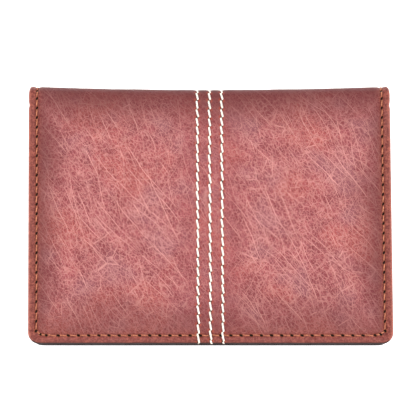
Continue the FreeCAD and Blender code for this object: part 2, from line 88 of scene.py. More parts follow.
# the two needle holes that turn each corner: inset from the side seam, then v
CORNER_HOLES = ((2.9, 2.55), (1.3, 2.85))
ACCENT_PLACES = {"left": -3.65, "middle": 0.0, "right": 3.65}
ACCENT_PITCH = 2.8
ACCENT_PHASES = {"left": 0.2, "middle": 1.1, "right": 0.75}
ACCENT_THICKNESS = 0.53

CORNER = 3.5
EDGE_HEIGHT = 1.6
EDGE_RADIUS = 0.85
SHEET_DEPTH = 1.0
INNER_EDGE_RADIUS = 0.5
LINING_DEPTHS = (1.6, 2.0)
FOLD_DIP = 1.1
# how far the soft case leans out of square from its free edge to its fold
LEAN = 0.45

random = np.random.default_rng(11)


def smoothstep(value, low, high):
    share = np.clip((value - low) / (high - low), 0.0, 1.0)
    return share * share * (3.0 - 2.0 * share)


def ridge(distance, width):
    return np.exp(-(distance / width) ** 2)


# ---- the shape of the case ----

def place(u, v, rise, front=True):
    """Row-frame points, in millimetres, rise above the smooth outer surface at (u, v)."""
    u, v, rise = np.broadcast_arrays(*(np.asarray(part, float) for part in (u, v, rise)))
    bend = np.clip((v - FLAT_LENGTH) / FOLD_RADIUS, 0.0, math.pi / 2)
    down = np.clip(v - FLAT_LENGTH - FOLD_RADIUS * math.pi / 2, 0.0, None)
    y = np.minimum(v, FLAT_LENGTH) - HALF_LENGTH + (FOLD_RADIUS + rise) * np.sin(bend)
    z = HEIGHT - FOLD_RADIUS + (FOLD_RADIUS + rise) * np.cos(bend) - down
    middle = 1.0 - np.abs(u / HALF_WIDTH) ** 2.6
    y = y - FOLD_DIP * middle * smoothstep(v, FLAT_LENGTH - 16.0, FLAT_LENGTH + 3.0)
    if not front:
        z = HEIGHT - z
    return np.stack([u - LEAN * v / SPINE_V, y, z], axis=-1)


def wander(u, v, seed, wavelength):
    """Smooth seeded waviness, about -1 to 1."""
    pick = np.random.default_rng(seed)
    total = np.zeros(np.broadcast(u, v).shape)
    for _ in range(6):
        angle, phase = pick.uniform(0, 2 * math.pi, 2)
        step = 2 * math.pi / (wavelength * pick.uniform(0.7, 1.6))
        total += np.sin(step * (u * math.cos(angle) + v * math.sin(angle)) + phase)
    return total / 3.5


def seam_distance(u, v):
    """Distance to the stitched line round three edges."""
    side = np.hypot(np.abs(u) - SEAM_LINE, np.clip(SEAM_INSET - v, 0.0, None))
    end = np.hypot(v - SEAM_INSET, np.clip(np.abs(u) - SEAM_LINE, 0.0, None))
    return np.minimum(side, end)


def side_seam(sign):
    """Needle holes up one side of a cover, from its corner to the middle of the spine."""
    holes = CORNER_HOLE_V + SEAM_PITCH * np.arange(SEAM_STEPS + 1)
    return np.stack([np.full(len(holes), sign * SEAM_LINE), holes], axis=1)


def end_seam():
    """Needle holes along the free edge, closer together where they turn each corner."""
    along = END_PITCH * (np.arange(END_STEPS) - (END_STEPS - 1) / 2)
    row = np.stack([along, np.full(len(along), SEAM_INSET)], axis=1)
    right = np.array([(SEAM_LINE - inset, v) for inset, v in CORNER_HOLES]
                     + [(SEAM_LINE, CORNER_HOLE_V)])
    left = right[::-1] * (-1.0, 1.0)
    return np.concatenate([left, row, right])


def accent_holes(side):
    """The v of each needle hole of one accent line, from the free edge to the spine."""
    first = ACCENT_PHASES[side]
    count = int((SPINE_V - first) / ACCENT_PITCH)
    holes = SPINE_V - ACCENT_PITCH * np.arange(count, -1, -1)
    shift = first - holes[0]
    return holes + shift * smoothstep(SPINE_V - holes, 0.0, SPINE_V)


def stamp(u, v, centres, size, lean=0.0):
    """1 at each centre, falling to 0 over an ellipse of the given half sizes."""
    mark = np.zeros(u.shape)
    for centre_u, centre_v in centres:
        near = (np.abs(u - centre_u) < 4 * size[0]) & (np.abs(v - centre_v) < 4 * size[1])
        across = u[near] - centre_u - lean * (v[near] - centre_v)
        spot = ridge(across, size[0]) * ridge(v[near] - centre_v, size[1])
        mark[near] = np.maximum(mark[near], spot)
    return mark


def edge_holes(u, v):
    side = stamp(u, v, np.concatenate([side_seam(-1), side_seam(1)]), (0.32, 0.42), 0.45)
    end = stamp(u, v, end_seam(), (0.44, 0.36), -0.6)
    return np.maximum(side, end)


def accent_marks(u, v, offset):
    """Where the thick thread drags the leather, to one side of each accent hole."""
    centres = [(line + offset, hole - offset * 0.3)
               for side, line in ACCENT_PLACES.items() for hole in accent_holes(side)]
    return stamp(u, v, centres, (0.3, 0.4))


def surface_rise(u, v):
    """How far the stitched, padded leather stands above the smooth surface. Never above 0."""
    seam = seam_distance(u, v)
    rise = -0.26 * ridge(seam, 0.6) - 0.22 * np.exp(-seam / 2.4)
    for line in ACCENT_PLACES.values():
        across = u - line
        rise = rise - 0.14 * ridge(across, 0.6) - 0.07 * np.exp(-np.abs(across) / 1.6)
    rise -= 0.14 * accent_marks(u, v, 0.0)
    rise -= 0.25 * edge_holes(u, v)
    rise += 0.045 * (wander(u, v, 5, 16.0) - 1.0) + 0.02 * (wander(u, v, 8, 5.0) - 1.0)
    return np.minimum(rise, 0.0)


# ---- meshes ----

def mesh_piece(name, points, faces, smooth=True, rest=None):
    """A mesh object from points in millimetres; rest is its texture space, also in mm."""
    points = np.asarray(points, float).reshape(-1, 3)
    mesh = bpy.data.meshes.new(name)
    mesh.from_pydata((points * MM).tolist(), [], [list(face) for face in faces])
    mesh.validate()
    mesh.update()
    if smooth:
        mesh.polygons.foreach_set("use_smooth", [True] * len(mesh.polygons))
    coordinates = points if rest is None else np.asarray(rest, float).reshape(-1, 3)
    attribute = mesh.attributes.new("rest", "FLOAT_VECTOR", "POINT")
    attribute.data.foreach_set("vector", coordinates.astype(np.float32).ravel())
    piece = bpy.data.objects.new(name, mesh)
    bpy.context.scene.collection.objects.link(piece)
    return piece


def add_mask(piece, name, values):
    attribute = piece.data.attributes.new(name, "FLOAT", "POINT")
    attribute.data.foreach_set("value", np.asarray(values, np.float32).ravel())


def face_outward(piece):
    shape = bmesh.new()
    shape.from_mesh(piece.data)
    bmesh.ops.recalc_face_normals(shape, faces=shape.faces)
    shape.to_mesh(piece.data)
    shape.free()


def grid_faces(rows, columns):
    start = (np.arange(rows - 1)[:, None] * columns + np.arange(columns - 1)[None, :]).ravel()
    return np.stack([start, start + 1, start + columns + 1, start + columns], axis=1)


def spread(low, high, step):
    """Evenly spaced values from low to high, about step apart."""
    count = max(2, int(round((high - low) / step)) + 1)
    return np.linspace(low, high, count)


def rim_profile(corner, height, radius, inner_radius, flange, step):
    """Distances out from the corner's centre line, and depths, from the flat top, over
    the rounded edge and back along the turned-in underside."""
    quarter = np.linspace(0.0, math.pi / 2, 7)
    flat = spread(0.0, corner - radius, step)[1:-1]
    outs = [flat, corner - radius + radius * np.sin(quarter)]
    depths = [np.zeros(len(flat)), radius * (1 - np.cos(quarter))]
    quarter = np.linspace(0.0, math.pi / 2, 5)
    outs.append(corner - inner_radius + inner_radius * np.cos(quarter))
    depths.append(height - inner_radius + inner_radius * np.sin(quarter))
    back = spread(0.0, flange, 0.7)[1:]
    outs.append(corner - inner_radius - back)
    depths.append(np.full(len(back), height))
    return np.concatenate(outs), np.concatenate(depths)


def shell_grid(half_width, length, corner, profile, inner_u, inner_v):
    """A sheet with rounded free corners: plan position and depth of every grid point.
    Rows run from the free edge to the spine, columns from left to right."""
    outs, depths = profile
    count = len(outs)
    columns = np.concatenate([-np.arange(count, 0, -1), np.zeros(len(inner_u)),
                              np.arange(1, count + 1)]).astype(int)
    rows = np.concatenate([np.arange(count, 0, -1), np.zeros(len(inner_v))]).astype(int)
    across = np.concatenate([np.full(count, inner_u[0]), inner_u, np.full(count, inner_u[-1])])
    along = np.concatenate([np.full(count, inner_v[0]), inner_v])
    side, end = np.abs(columns)[None, :], rows[:, None]
    ring = np.maximum(side, end)
    slice_out = np.concatenate([[0.0], outs])
    slice_depth = np.concatenate([[0.0], depths])
    largest = np.maximum(ring, 1)
    turn = np.where(side >= end, end / largest * math.pi / 4,
                    math.pi / 2 - side / largest * math.pi / 4)
    out = slice_out[ring]
    u = across[None, :] + np.sign(columns)[None, :] * out * np.where(side > 0, np.cos(turn), 0.0)
    v = along[:, None] - out * np.where(end > 0, np.sin(turn), 0.0)
    return u, v, slice_depth[ring]


def underside_plan(u, v, first_row):
    """Plan positions between the two turned-in edges, for the underside of a sheet."""
    across = spread(u[-1, 0], u[-1, -1], 6.0)[1:-1]
    return np.broadcast_arrays(across[None, :], v[first_row:, :1])


def close_underside(rows, columns, first_row, inner):
    """The faces of a sheet whose underside points, inner to a row, follow its grid points."""
    faces = [list(face) for face in grid_faces(rows, columns)]
    last = columns - 1

    def across(row):
        start = rows * columns + (row - first_row) * inner
        return [row * columns] + list(range(start, start + inner)) + [row * columns + last]

    for row in range(first_row, rows - 1):
        near, far = across(row), across(row + 1)
        for column in range(inner + 1):
            faces.append([near[column], far[column], far[column + 1], near[column + 1]])
    free_end = list(range(columns))
    free_end += [row * columns + last for row in range(1, first_row)]
    free_end += across(first_row)[::-1]
    free_end += [row * columns for row in range(first_row - 1, 0, -1)]
    faces.append(free_end)
    spine_end = [(rows - 1) * columns + column for column in range(columns)]
    faces.append(spine_end + across(rows - 1)[-2:0:-1])
    return faces


def leather_half(name, front):
    """Half of the one outer piece of leather: a cover and its side of the spine."""
    outs, depths = rim_profile(CORNER, EDGE_HEIGHT, EDGE_RADIUS, INNER_EDGE_RADIUS, 2.0, 0.16)
    outs = np.append(outs, outs[-1])
    depths = np.append(depths, SHEET_DEPTH)
    edge = HALF_WIDTH - CORNER
    middle = spread(-5.4, 5.4, 0.2)
    wing = spread(5.4, edge, 0.36)[1:]
    inner_u = np.concatenate([-wing[::-1], middle, wing])
    inner_v = spread(CORNER, SPINE_V, 0.36)
    u, v, depth = shell_grid(HALF_WIDTH, SPINE_V, CORNER, (outs, depths), inner_u, inner_v)
    shown = np.clip(1.0 - depth / EDGE_RADIUS, 0.0, 1.0)
    rise = surface_rise(u, v) * shown - depth
    notch = 0.2 * ridge(v - (FLAT_LENGTH - 2.3), 0.8)
    pinch = 0.35 * smoothstep(v, FLAT_LENGTH + 1.0, SPINE_V) + notch
    squeeze = 1.0 - pinch / HALF_WIDTH * smoothstep(np.abs(u), HALF_WIDTH - 4.0, HALF_WIDTH)
    rows, columns = u.shape
    points = place(u * squeeze, v, rise, front)
    under_u, under_v = underside_plan(u, v, len(outs))
    under_depth = np.full(under_u.shape, SHEET_DEPTH)
    under = place(under_u, under_v, -under_depth, front)
    points = np.concatenate([points.reshape(-1, 3), under.reshape(-1, 3)])
    faces = close_underside(rows, columns, len(outs), under_u.shape[1])
    u = np.concatenate([u.ravel(), under_u.ravel()])
    v = np.concatenate([v.ravel(), under_v.ravel()])
    depth = np.concatenate([depth.ravel(), under_depth.ravel()])
    along = v if front else 2 * SPINE_V - v
    piece = mesh_piece(name, points, faces, rest=np.stack([u, along, depth], axis=-1))
    add_leather_masks(piece, u, v, depth)
    face_outward(piece)
    return piece


def add_leather_masks(piece, u, v, depth):
    """Dark edges and fold, partly burnished dye and partly painted shade; warm bare-looking
    seams; a smooth strip between accents; dark edge paint that at the free end is also painted
    shade; a painted highlight on the rounded rim; needle holes painted near-black as shade.
    """
    uneven = 1.0 + 0.25 * wander(u, v, 21, 22.0)
    near_side = 1.0 - smoothstep((HALF_WIDTH - np.abs(u)) / uneven, 0.5, 15.0)
    from_end = np.clip(v, 0.0, None) / uneven
    near_end = np.maximum(0.62 * (1.0 - smoothstep(from_end, 4.0, 19.0)), np.exp(-from_end / 6.5))
    near_edge = np.maximum(near_side, near_end)
    near_fold = smoothstep(v + 1.2 * wander(u, v, 4, 30.0), FLAT_LENGTH - 14.0,
                           FLAT_LENGTH + 4.0)
    # Darker towards every edge and over the fold: partly burnished dye, partly painted shade
    # where the padded leather rolls away from the light.
    add_mask(piece, "burnish_and_shade", np.maximum(near_edge, near_fold))
    side_band = 1.0 - smoothstep(HALF_WIDTH - np.abs(u), 1.5, 4.8)
    end_band = 0.78 * np.exp(-np.clip(v - SEAM_INSET, 0.0, None) / 1.8)
    add_mask(piece, "seam_band", np.maximum(side_band, end_band))
    add_mask(piece, "strip", 1.0 - smoothstep(np.abs(u), 5.0, 13.0))
    # Dark edge paint on the rim's side; at the free end it reaches up onto the rounded rim as
    # painted shade of the shadowed edge and the gap below it.
    at_end = smoothstep(HALF_WIDTH - np.abs(u) - v, -0.5, 1.0)
    painted = at_end * smoothstep(depth, 0.06, 0.2)
    add_mask(piece, "rim_side", np.maximum(painted, smoothstep(depth, 0.45, 0.8)))
    # The rounded rim: a painted highlight in the colour, and lower roughness.
    add_mask(piece, "rim", smoothstep(depth, 0.0, 0.1) * (1.0 - painted))
    # Needle-hole marks: painted near-black in the material as shade inside the holes, and sunk in
    # the bump.
    add_mask(piece, "holes", edge_holes(u, v) * (depth < 0.1))
    drag = np.maximum(accent_marks(u, v, -0.6), accent_marks(u, v, 0.6))
    add_mask(piece, "drag_marks", drag)
    add_mask(piece, "accent_holes", accent_marks(u, v, 0.0))


def lining_half(name, front):
    """The thin lining inside a cover and its side of the fold."""
    top, bottom = LINING_DEPTHS
    edge = HALF_WIDTH - 1.0
    inner_u = spread(-edge + 2.0, edge - 2.0, 1.6)
    inner_v = spread(3.0, SPINE_V, 0.8)
    outs = np.array([0.7, 1.3, 1.75, 1.95, 2.0, 2.0, 1.9, 1.6])
    depths = np.array([0.0, 0.0, 0.03, 0.1, 0.2, 0.3, 0.38, 0.4])
    u, v, depth = shell_grid(edge, SPINE_V, 2.0, (outs, depths), inner_u, inner_v)
    rows, columns = u.shape
    thickness = bottom - top
    inside = thickness - depth
    puff = 0.06 * (wander(u, v, 31, 14.0) - 1.0) * (inside > 0.3)
    points = place(u, v, -(top + inside) - puff, front)
    under_u, under_v = underside_plan(u, v, len(outs))
    under = place(under_u, under_v, -top, front)
    points = np.concatenate([points.reshape(-1, 3), under.reshape(-1, 3)])
    faces = close_underside(rows, columns, len(outs), under_u.shape[1])
    u = np.concatenate([u.ravel(), under_u.ravel()])
    v = np.concatenate([v.ravel(), under_v.ravel()])
    depth = np.concatenate([depth.ravel(), np.full(under_u.size, thickness)])
    along = v if front else 2 * SPINE_V - v
    piece = mesh_piece(name, points, faces, rest=np.stack([u, along, depth], axis=-1))
    face_outward(piece)
    return piece


# ---- thread ----

def stitch_mesh(starts, ends, thickness, lift, dip, twist, surface, flat=0.8, rings=13):
    """Twisted-ply stitches between needle holes. starts and ends are (n, 2) arrays of
    (u, v); surface(u, v, rise) gives points in the row frame."""
    starts, ends = np.asarray(starts, float), np.asarray(ends, float)
    count, around = len(starts), 14
    path = np.linspace(0.0, 1.0, rings)
    turn = np.linspace(0.0, 2 * math.pi, around, endpoint=False)
    run = ends - starts
    length = np.linalg.norm(run, axis=1, keepdims=True)
    ahead = run / length
    aside = np.stack([-ahead[:, 1], ahead[:, 0]], axis=1)
    sag = (2 * path - 1) ** 10
    rise = lift * (1 - sag) - dip * sag
    fullness = 0.94 + 0.06 * np.sqrt(np.clip(np.sin(math.pi * path), 0.0, 1.0))
    plies = 1 + 0.11 * np.cos(3 * (turn[None, None, :] - twist * path[None, :, None]
                                   * length[:, :, None]))
    radius = thickness / 2 * plies * fullness[None, :, None]
    side = radius * np.cos(turn)[None, None, :]
    up = radius * np.sin(turn)[None, None, :] * flat
    bow = random.normal(0.0, 0.03, count)[:, None] * np.sin(math.pi * path)[None, :]
    shift = side + bow[:, :, None]
    centre = starts[:, None, :] + run[:, None, :] * path[None, :, None]
    u = centre[:, :, None, 0] + aside[:, None, None, 0] * shift
    v = centre[:, :, None, 1] + aside[:, None, None, 1] * shift
    points = surface(u, v, rise[None, :, None] + up, centre)
    rest = np.stack([side, np.broadcast_to(path[None, :, None] * length[:, :, None], side.shape)
                     + 3.0 * np.arange(count)[:, None, None], up], axis=-1)
    faces = []
    ring = np.arange(around)
    following = (ring + 1) % around
    for stitch in range(count):
        base = stitch * rings * around
        for step in range(rings - 1):
            low = base + step * around
            high = low + around
            faces.extend(np.stack([low + ring, low + following, high + following,
                                   high + ring], axis=1).tolist())
        faces.append((base + ring[::-1]).tolist())
        faces.append((base + (rings - 1) * around + ring).tolist())
    return points.reshape(-1, 3), faces, rest.reshape(-1, 3)


def on_leather(front):
    """Places thread on the outer leather, following its stitched relief."""
    def surface(u, v, rise, centre):
        middle_u = np.broadcast_to(centre[:, :, None, 0], u.shape)
        middle_v = np.broadcast_to(np.clip(centre[:, :, None, 1], 0.0, None), v.shape)
        relief = surface_rise(middle_u.copy(), middle_v.copy())
        below = np.clip(-v, 0.0, None)
        return place(u, np.clip(v, 0.0, None), rise + np.maximum(relief, -0.32) - below, front)
    return surface


def edge_thread(name, front):
    """The tan thread round three edges, pulled down tight between its needle holes."""
    starts, ends = [], []
    for holes in (side_seam(-1), side_seam(1), end_seam()):
        jitter = random.normal(0.0, 0.035, holes.shape)
        jitter[-1] = 0.0
        holes = holes + jitter
        run = holes[1:] - holes[:-1]
        aside = np.stack([-run[:, 1], run[:, 0]], axis=1) / SEAM_PITCH
        starts.append(holes[:-1] + run * 0.18 + aside * 0.12)
        ends.append(holes[1:] - run * 0.18 - aside * 0.12)
    starts, ends = np.concatenate(starts), np.concatenate(ends)
    points, faces, rest = stitch_mesh(starts, ends, 0.32, 0.05, 0.3, 2.6, on_leather(front))
    piece = mesh_piece(name, points, faces, rest=rest)
    face_outward(piece)
    return piece


def accent_thread(name, side, front):
    """One line of thick cream stitches. Each leans the same way, and the last one bends
    over the free edge."""
    line = ACCENT_PLACES[side]
    holes = accent_holes(side)
    starts = np.stack([np.full(len(holes) - 1, line + 0.27), holes[:-1] + 0.02], axis=1)
    ends = np.stack([np.full(len(holes) - 1, line - 0.24), holes[1:] + 0.02], axis=1)
    over_edge = np.array([[line + 0.6, -0.95]])
    starts = np.concatenate([over_edge, starts])
    ends = np.concatenate([np.array([[line - 0.05, holes[0] - 0.1]]), ends])
    starts[1:] += random.normal(0.0, 0.045, starts[1:].shape)
    ends[:-1] += random.normal(0.0, 0.045, ends[:-1].shape)
    points, faces, rest = stitch_mesh(starts, ends, ACCENT_THICKNESS, 0.12, 0.34, 1.9,
                                      on_leather(front))
    piece = mesh_piece(name, points, faces, rest=rest)
    face_outward(piece)
    return piece


# ---- flat inner panels ----

def rounded_outline(half_width, low, high, corner, notch=0.0):
    """A panel seen from above, its free corners rounded, with a thumb notch if wanted."""
    right = [(half_width - corner + corner * math.sin(angle),
              low + corner - corner * math.cos(angle))
             for angle in np.linspace(0.0, math.pi / 2, 9)]
    right.append((half_width, high))
    left = [(-x, y) for x, y in reversed(right)]
    if not notch:
        return right + left
    dip = [(notch * math.cos(angle), high - notch * math.sin(angle))
           for angle in np.linspace(0.0, math.pi, 33)]
    return right + dip + left


def panel(name, outline, low, high, rim):
    """A flat piece of leather with softened edges between two heights."""
    shape = bmesh.new()
    ring = [shape.verts.new((x * MM, y * MM, low * MM)) for x, y in outline]
    base = shape.faces.new(ring)
    grown = bmesh.ops.extrude_face_region(shape, geom=[base])
    raised = [item for item in grown["geom"] if isinstance(item, bmesh.types.BMVert)]
    bmesh.ops.translate(shape, verts=raised, vec=(0.0, 0.0, (high - low) * MM))
    bmesh.ops.recalc_face_normals(shape, faces=shape.faces)
    around = [edge for edge in shape.edges
              if abs(edge.verts[0].co.z - edge.verts[1].co.z) < MM * 1e-3]
    bmesh.ops.bevel(shape, geom=around, offset=rim * MM, segments=3, affect="EDGES",
                    profile=0.5)
    mesh = bpy.data.meshes.new(name)
    shape.to_mesh(mesh)
    shape.free()
    piece = bpy.data.objects.new(name, mesh)
    bpy.context.scene.collection.objects.link(piece)
    flat = np.array([point.co for point in mesh.vertices]).reshape(-1, 3) / MM
    attribute = mesh.attributes.new("rest", "FLOAT_VECTOR", "POINT")
    attribute.data.foreach_set("vector", flat.astype(np.float32).ravel())
    mouth = max(y for _, y in outline)
    add_mask(piece, "mouth", np.zeros(len(flat)) + mouth)
    for face in mesh.polygons:
        face.use_smooth = True
    finish_edges(piece)
    return piece


def finish_edges(piece):
    """Flat faces stay flat and only the softened edges shade smoothly."""
    weighted = piece.modifiers.new("even_shading", "WEIGHTED_NORMAL")
    weighted.keep_sharp = True


def node_box(node):
    low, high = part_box(node)
    return low / MM, high / MM


def panel_for(node, rim, corner=1.6, notch=0.0):
    low, high = node_box(node)
    outline = rounded_outline(high.x, low.y, high.y, corner, notch)
    piece = panel(node + "_piece", outline, low.z, high.z, rim)
    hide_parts(node)
    return piece


# ---- the gusset ----

def gusset_section():
    """Closed outline of the folded strip, as (inset from the case's edge, height)."""
    low, high = node_box("pocket_gusset")
    skin = 0.5
    floor, roof = low.z + skin / 2, high.z - skin / 2
    middle = (floor + roof) / 2
    tab, fold = 4.6, 8.75
    line = [(1.1, floor), (2.5, floor), (tab - 0.9, floor)]
    for angle in np.linspace(0.0, 0.5, 4):
        line.append((tab + 1.3 * math.sin(angle), floor + 1.3 * (1 - math.cos(angle))))
    line.append((fold - 1.1, middle - 0.62))
    for angle in np.linspace(-0.9, 0.9, 7):
        line.append((fold - 0.45 + 0.45 * math.cos(angle), middle + 0.5 * math.sin(angle)))
    line.append((fold - 1.1, middle + 0.62))
    for angle in np.linspace(0.5, 0.0, 4):
        line.append((tab + 1.3 * math.sin(angle), roof - 1.3 * (1 - math.cos(angle))))
    line += [(tab - 0.9, roof), (3.1, roof)]
    line = np.array(line)
    ahead = np.gradient(line, axis=0)
    ahead /= np.linalg.norm(ahead, axis=1, keepdims=True)
    aside = np.stack([-ahead[:, 1], ahead[:, 0]], axis=1) * skin / 2
    return np.concatenate([line + aside, (line - aside)[::-1]])


def gusset_piece():
    low, high = node_box("pocket_gusset")
    section = gusset_section()
    ripple = np.random.default_rng(3)
    stations = []
    side = np.linspace(high.y, -HALF_LENGTH + 9.5, 26)
    across = np.linspace(-(HALF_WIDTH - 9.5), HALF_WIDTH - 9.5, 46)
    for y in side:
        stations.append(("left", y))
    stations.append(("left_corner", 0.0))
    for x in across:
        stations.append(("end", x))
    stations.append(("right_corner", 0.0))
    for y in side[::-1]:
        stations.append(("right", y))
    rows = []
    for kind, at in stations:
        wave = 0.12 * ripple.normal()
        inset = section[:, 0] + wave * smoothstep(section[:, 0], 5.0, 8.0)
        if kind in ("left", "right"):
            sign = -1 if kind == "left" else 1
            x, y = sign * (HALF_WIDTH - inset), np.full(len(inset), at)
        elif kind == "end":
            x, y = np.full(len(inset), at), inset - HALF_LENGTH
        else:
            sign = -1 if kind == "left_corner" else 1
            x, y = sign * (HALF_WIDTH - inset), inset - HALF_LENGTH
        rows.append(np.stack([x, y, section[:, 1]], axis=1))
    rows = np.array(rows)
    count, around = rows.shape[:2]
    faces = []
    for row in range(count - 1):
        for step in range(around):
            following = (step + 1) % around
            faces.append([row * around + step, row * around + following,
                          (row + 1) * around + following, (row + 1) * around + step])
    faces.append(list(range(around)))
    faces.append([(count - 1) * around + step for step in range(around)][::-1])
    piece = mesh_piece("pocket_gusset_piece", rows.reshape(-1, 3), faces)
    face_outward(piece)
    return piece


# ---- inner threads ----

def flat_surface(height_at, up):
    """Places thread on a stack of flat panels: height_at(v) is the surface's height."""
    def surface(u, v, rise, centre):
        level = height_at(centre[:, :, None, 1])
        level = np.broadcast_to(level, u.shape)
        return np.stack([u, v - HALF_LENGTH, level + up * rise], axis=-1)
    return surface


def inner_thread(name, steps, up):
    """The inner side of the edge seam. steps lists (upper end y, surface height)."""
    ends_y = np.array([end for end, _ in steps[:-1]])
    heights = np.array([height for _, height in steps])

    def height_at(v):
        return heights[np.searchsorted(ends_y, v - HALF_LENGTH)]

    starts, ends = [], []
    for sign in (-1, 1):
        holes = side_seam(sign)[:25]
        starts.append(holes[:-1])
        ends.append(holes[1:])
    holes = end_seam()
    starts.append(holes[:-1])
    ends.append(holes[1:])
    starts, ends = np.concatenate(starts), np.concatenate(ends)
    run = ends - starts
    starts, ends = starts + run * 0.09, ends - run * 0.09
    points, faces, rest = stitch_mesh(starts, ends, 0.4, 0.08, 0.25, 2.6,
                                      flat_surface(height_at, up))
    piece = mesh_piece(name, points, faces, rest=rest)
    face_outward(piece)
    return piece


def pocket_thread(name):
    low, high = node_box("pocket_seam_thread")
    inset = 0.25
    left, right = low.x + inset, high.x - inset
    bottom, top = low.y + inset, high.y
    surface_z = high.z - 0.12
    count_up = int((top - bottom) / SEAM_PITCH)
    count_end = int(round((right - left) / END_PITCH))
    up = bottom + SEAM_PITCH * np.arange(count_up + 1) + HALF_LENGTH
    along = np.linspace(left, right, count_end + 1)
    runs = [
        np.stack([np.full(len(up), left), up], axis=1),
        np.stack([np.full(len(up), right), up], axis=1),
        np.stack([along, np.full(len(along), bottom + HALF_LENGTH)], axis=1),
    ]
    starts = np.concatenate([holes[:-1] for holes in runs])
    ends = np.concatenate([holes[1:] for holes in runs])
    run = ends - starts
    starts, ends = starts + run * 0.09, ends - run * 0.09
    points, faces, rest = stitch_mesh(
        starts, ends, 0.4, 0.02, 0.25, 2.6,
        flat_surface(lambda v: np.full(np.shape(v), surface_z), 1))
    piece = mesh_piece(name, points, faces, rest=rest)
    face_outward(piece)
    return piece


# ---- materials ----

def srgb(red, green, blue):
    """A colour as it is read off a screen, 0 to 255, in linear light."""
    return tuple(
        part / 12.92 if part <= 0.04045 else ((part + 0.055) / 1.055) ** 2.4
        for part in (red / 255, green / 255, blue / 255)
    ) + (1.0,)


class Field:
    """One value in a node tree, which plain arithmetic turns into Math nodes."""

    def __init__(self, tree, socket):
        self.tree = tree
        self.socket = socket

    def __add__(self, other):
        return self.tree.math("ADD", self, other)

    def __radd__(self, other):
        return self.tree.math("ADD", self, other)

    def __sub__(self, other):
        return self.tree.math("SUBTRACT", self, other)

    def __rsub__(self, other):
        return self.tree.math("SUBTRACT", other, self)

    def __mul__(self, other):
        return self.tree.math("MULTIPLY", self, other)

    def __rmul__(self, other):
        return self.tree.math("MULTIPLY", self, other)


class Tree:
    """A procedural material, written as a few lines of arithmetic."""

    def __init__(self, name):
        self.material = bpy.data.materials.new(name)
        self.material.use_nodes = True
        self.nodes = self.material.node_tree.nodes
        self.links = self.material.node_tree.links
        self.nodes.clear()
        output = self.nodes.new("ShaderNodeOutputMaterial")
        self.shader = self.nodes.new("ShaderNodeBsdfPrincipled")
        self.links.new(self.shader.outputs["BSDF"], output.inputs["Surface"])

    def connect(self, socket, value):
        if isinstance(value, Field):
            self.links.new(value.socket, socket)
        else:
            socket.default_value = value

    def math(self, operation, *values):
        node = self.nodes.new("ShaderNodeMath")
        node.operation = operation
        for socket, value in zip(node.inputs, values):
            self.connect(socket, value)
        return Field(self, node.outputs[0])

    def attribute(self, name):
        node = self.nodes.new("ShaderNodeAttribute")
        node.attribute_name = name
        return node

    def rest(self):
        return Field(self, self.attribute("rest").outputs["Vector"])

    def mask(self, name):
        return Field(self, self.attribute(name).outputs["Fac"])

    def parts(self, vector):
        node = self.nodes.new("ShaderNodeSeparateXYZ")
        self.connect(node.inputs[0], vector)
        return [Field(self, socket) for socket in node.outputs]

    def vector(self, operation, first, second, output=0):
        node = self.nodes.new("ShaderNodeVectorMath")
        node.operation = operation
        self.connect(node.inputs[0], first)
        self.connect(node.inputs[1], second)
        return Field(self, node.outputs[output])

    def turned(self, vector, angle, stretch):
        """The vector turned about z by angle, then scaled along each axis."""
        node = self.nodes.new("ShaderNodeMapping")
        node.vector_type = "TEXTURE"
        self.connect(node.inputs["Vector"], vector)
        node.inputs["Rotation"].default_value = (0.0, 0.0, angle)
        node.inputs["Scale"].default_value = [1.0 / part for part in stretch]
        return Field(self, node.outputs[0])

    def noise(self, vector, scale, detail=2.0, roughness=0.5):
        node = self.nodes.new("ShaderNodeTexNoise")
        self.connect(node.inputs["Vector"], vector)
        node.inputs["Scale"].default_value = scale
        node.inputs["Detail"].default_value = detail
        node.inputs["Roughness"].default_value = roughness
        return Field(self, node.outputs["Fac"])

    def warped(self, vector, scale, amount, detail=2.0):
        """The vector pushed about by noise, up to half of amount each way."""
        node = self.nodes.new("ShaderNodeTexNoise")
        self.connect(node.inputs["Vector"], vector)
        node.inputs["Scale"].default_value = scale
        node.inputs["Detail"].default_value = detail
        push = self.vector("SUBTRACT", Field(self, node.outputs["Color"]), (0.5, 0.5, 0.5))
        push = self.vector("MULTIPLY", push, (amount, amount, amount))
        return self.vector("ADD", vector, push)

    def cell_edges(self, vector, scale, randomness=1.0):
        """Distance to the nearest edge of random cells, in the scaled space."""
        node = self.nodes.new("ShaderNodeTexVoronoi")
        node.feature = "DISTANCE_TO_EDGE"
        self.connect(node.inputs["Vector"], vector)
        node.inputs["Scale"].default_value = scale
        node.inputs["Randomness"].default_value = randomness
        return Field(self, node.outputs["Distance"])

    def smooth(self, value, low, high):
        """0 below low and 1 above high, eased between; low may be the larger."""
        node = self.nodes.new("ShaderNodeMapRange")
        node.interpolation_type = "SMOOTHSTEP"
        self.connect(node.inputs["Value"], value)
        node.inputs["From Min"].default_value = min(low, high)
        node.inputs["From Max"].default_value = max(low, high)
        node.inputs["To Min"].default_value = 0.0 if low < high else 1.0
        node.inputs["To Max"].default_value = 1.0 if low < high else 0.0
        return Field(self, node.outputs["Result"])

    def mix(self, share, first, second, kind="MIX"):
        node = self.nodes.new("ShaderNodeMix")
        node.data_type = "RGBA"
        node.blend_type = kind
        self.connect(node.inputs["Factor"], share)
        self.connect(node.inputs[6], first)
        self.connect(node.inputs[7], second)
        return Field(self, node.outputs[2])

    def bump(self, height, strength, distance, below=None):
        node = self.nodes.new("ShaderNodeBump")
        node.inputs["Strength"].default_value = strength
        node.inputs["Distance"].default_value = distance
        self.connect(node.inputs["Height"], height)
        if below is not None:
            self.links.new(below.socket, node.inputs["Normal"])
        return Field(self, node.outputs["Normal"])

    def finish(self, color, roughness, normal, **constants):
        self.connect(self.shader.inputs["Base Color"], color)
        self.connect(self.shader.inputs["Roughness"], roughness)
        self.connect(self.shader.inputs["Normal"], normal)
        for name, value in constants.items():
            self.shader.inputs[name.replace("_", " ")].default_value = value
        return self.material


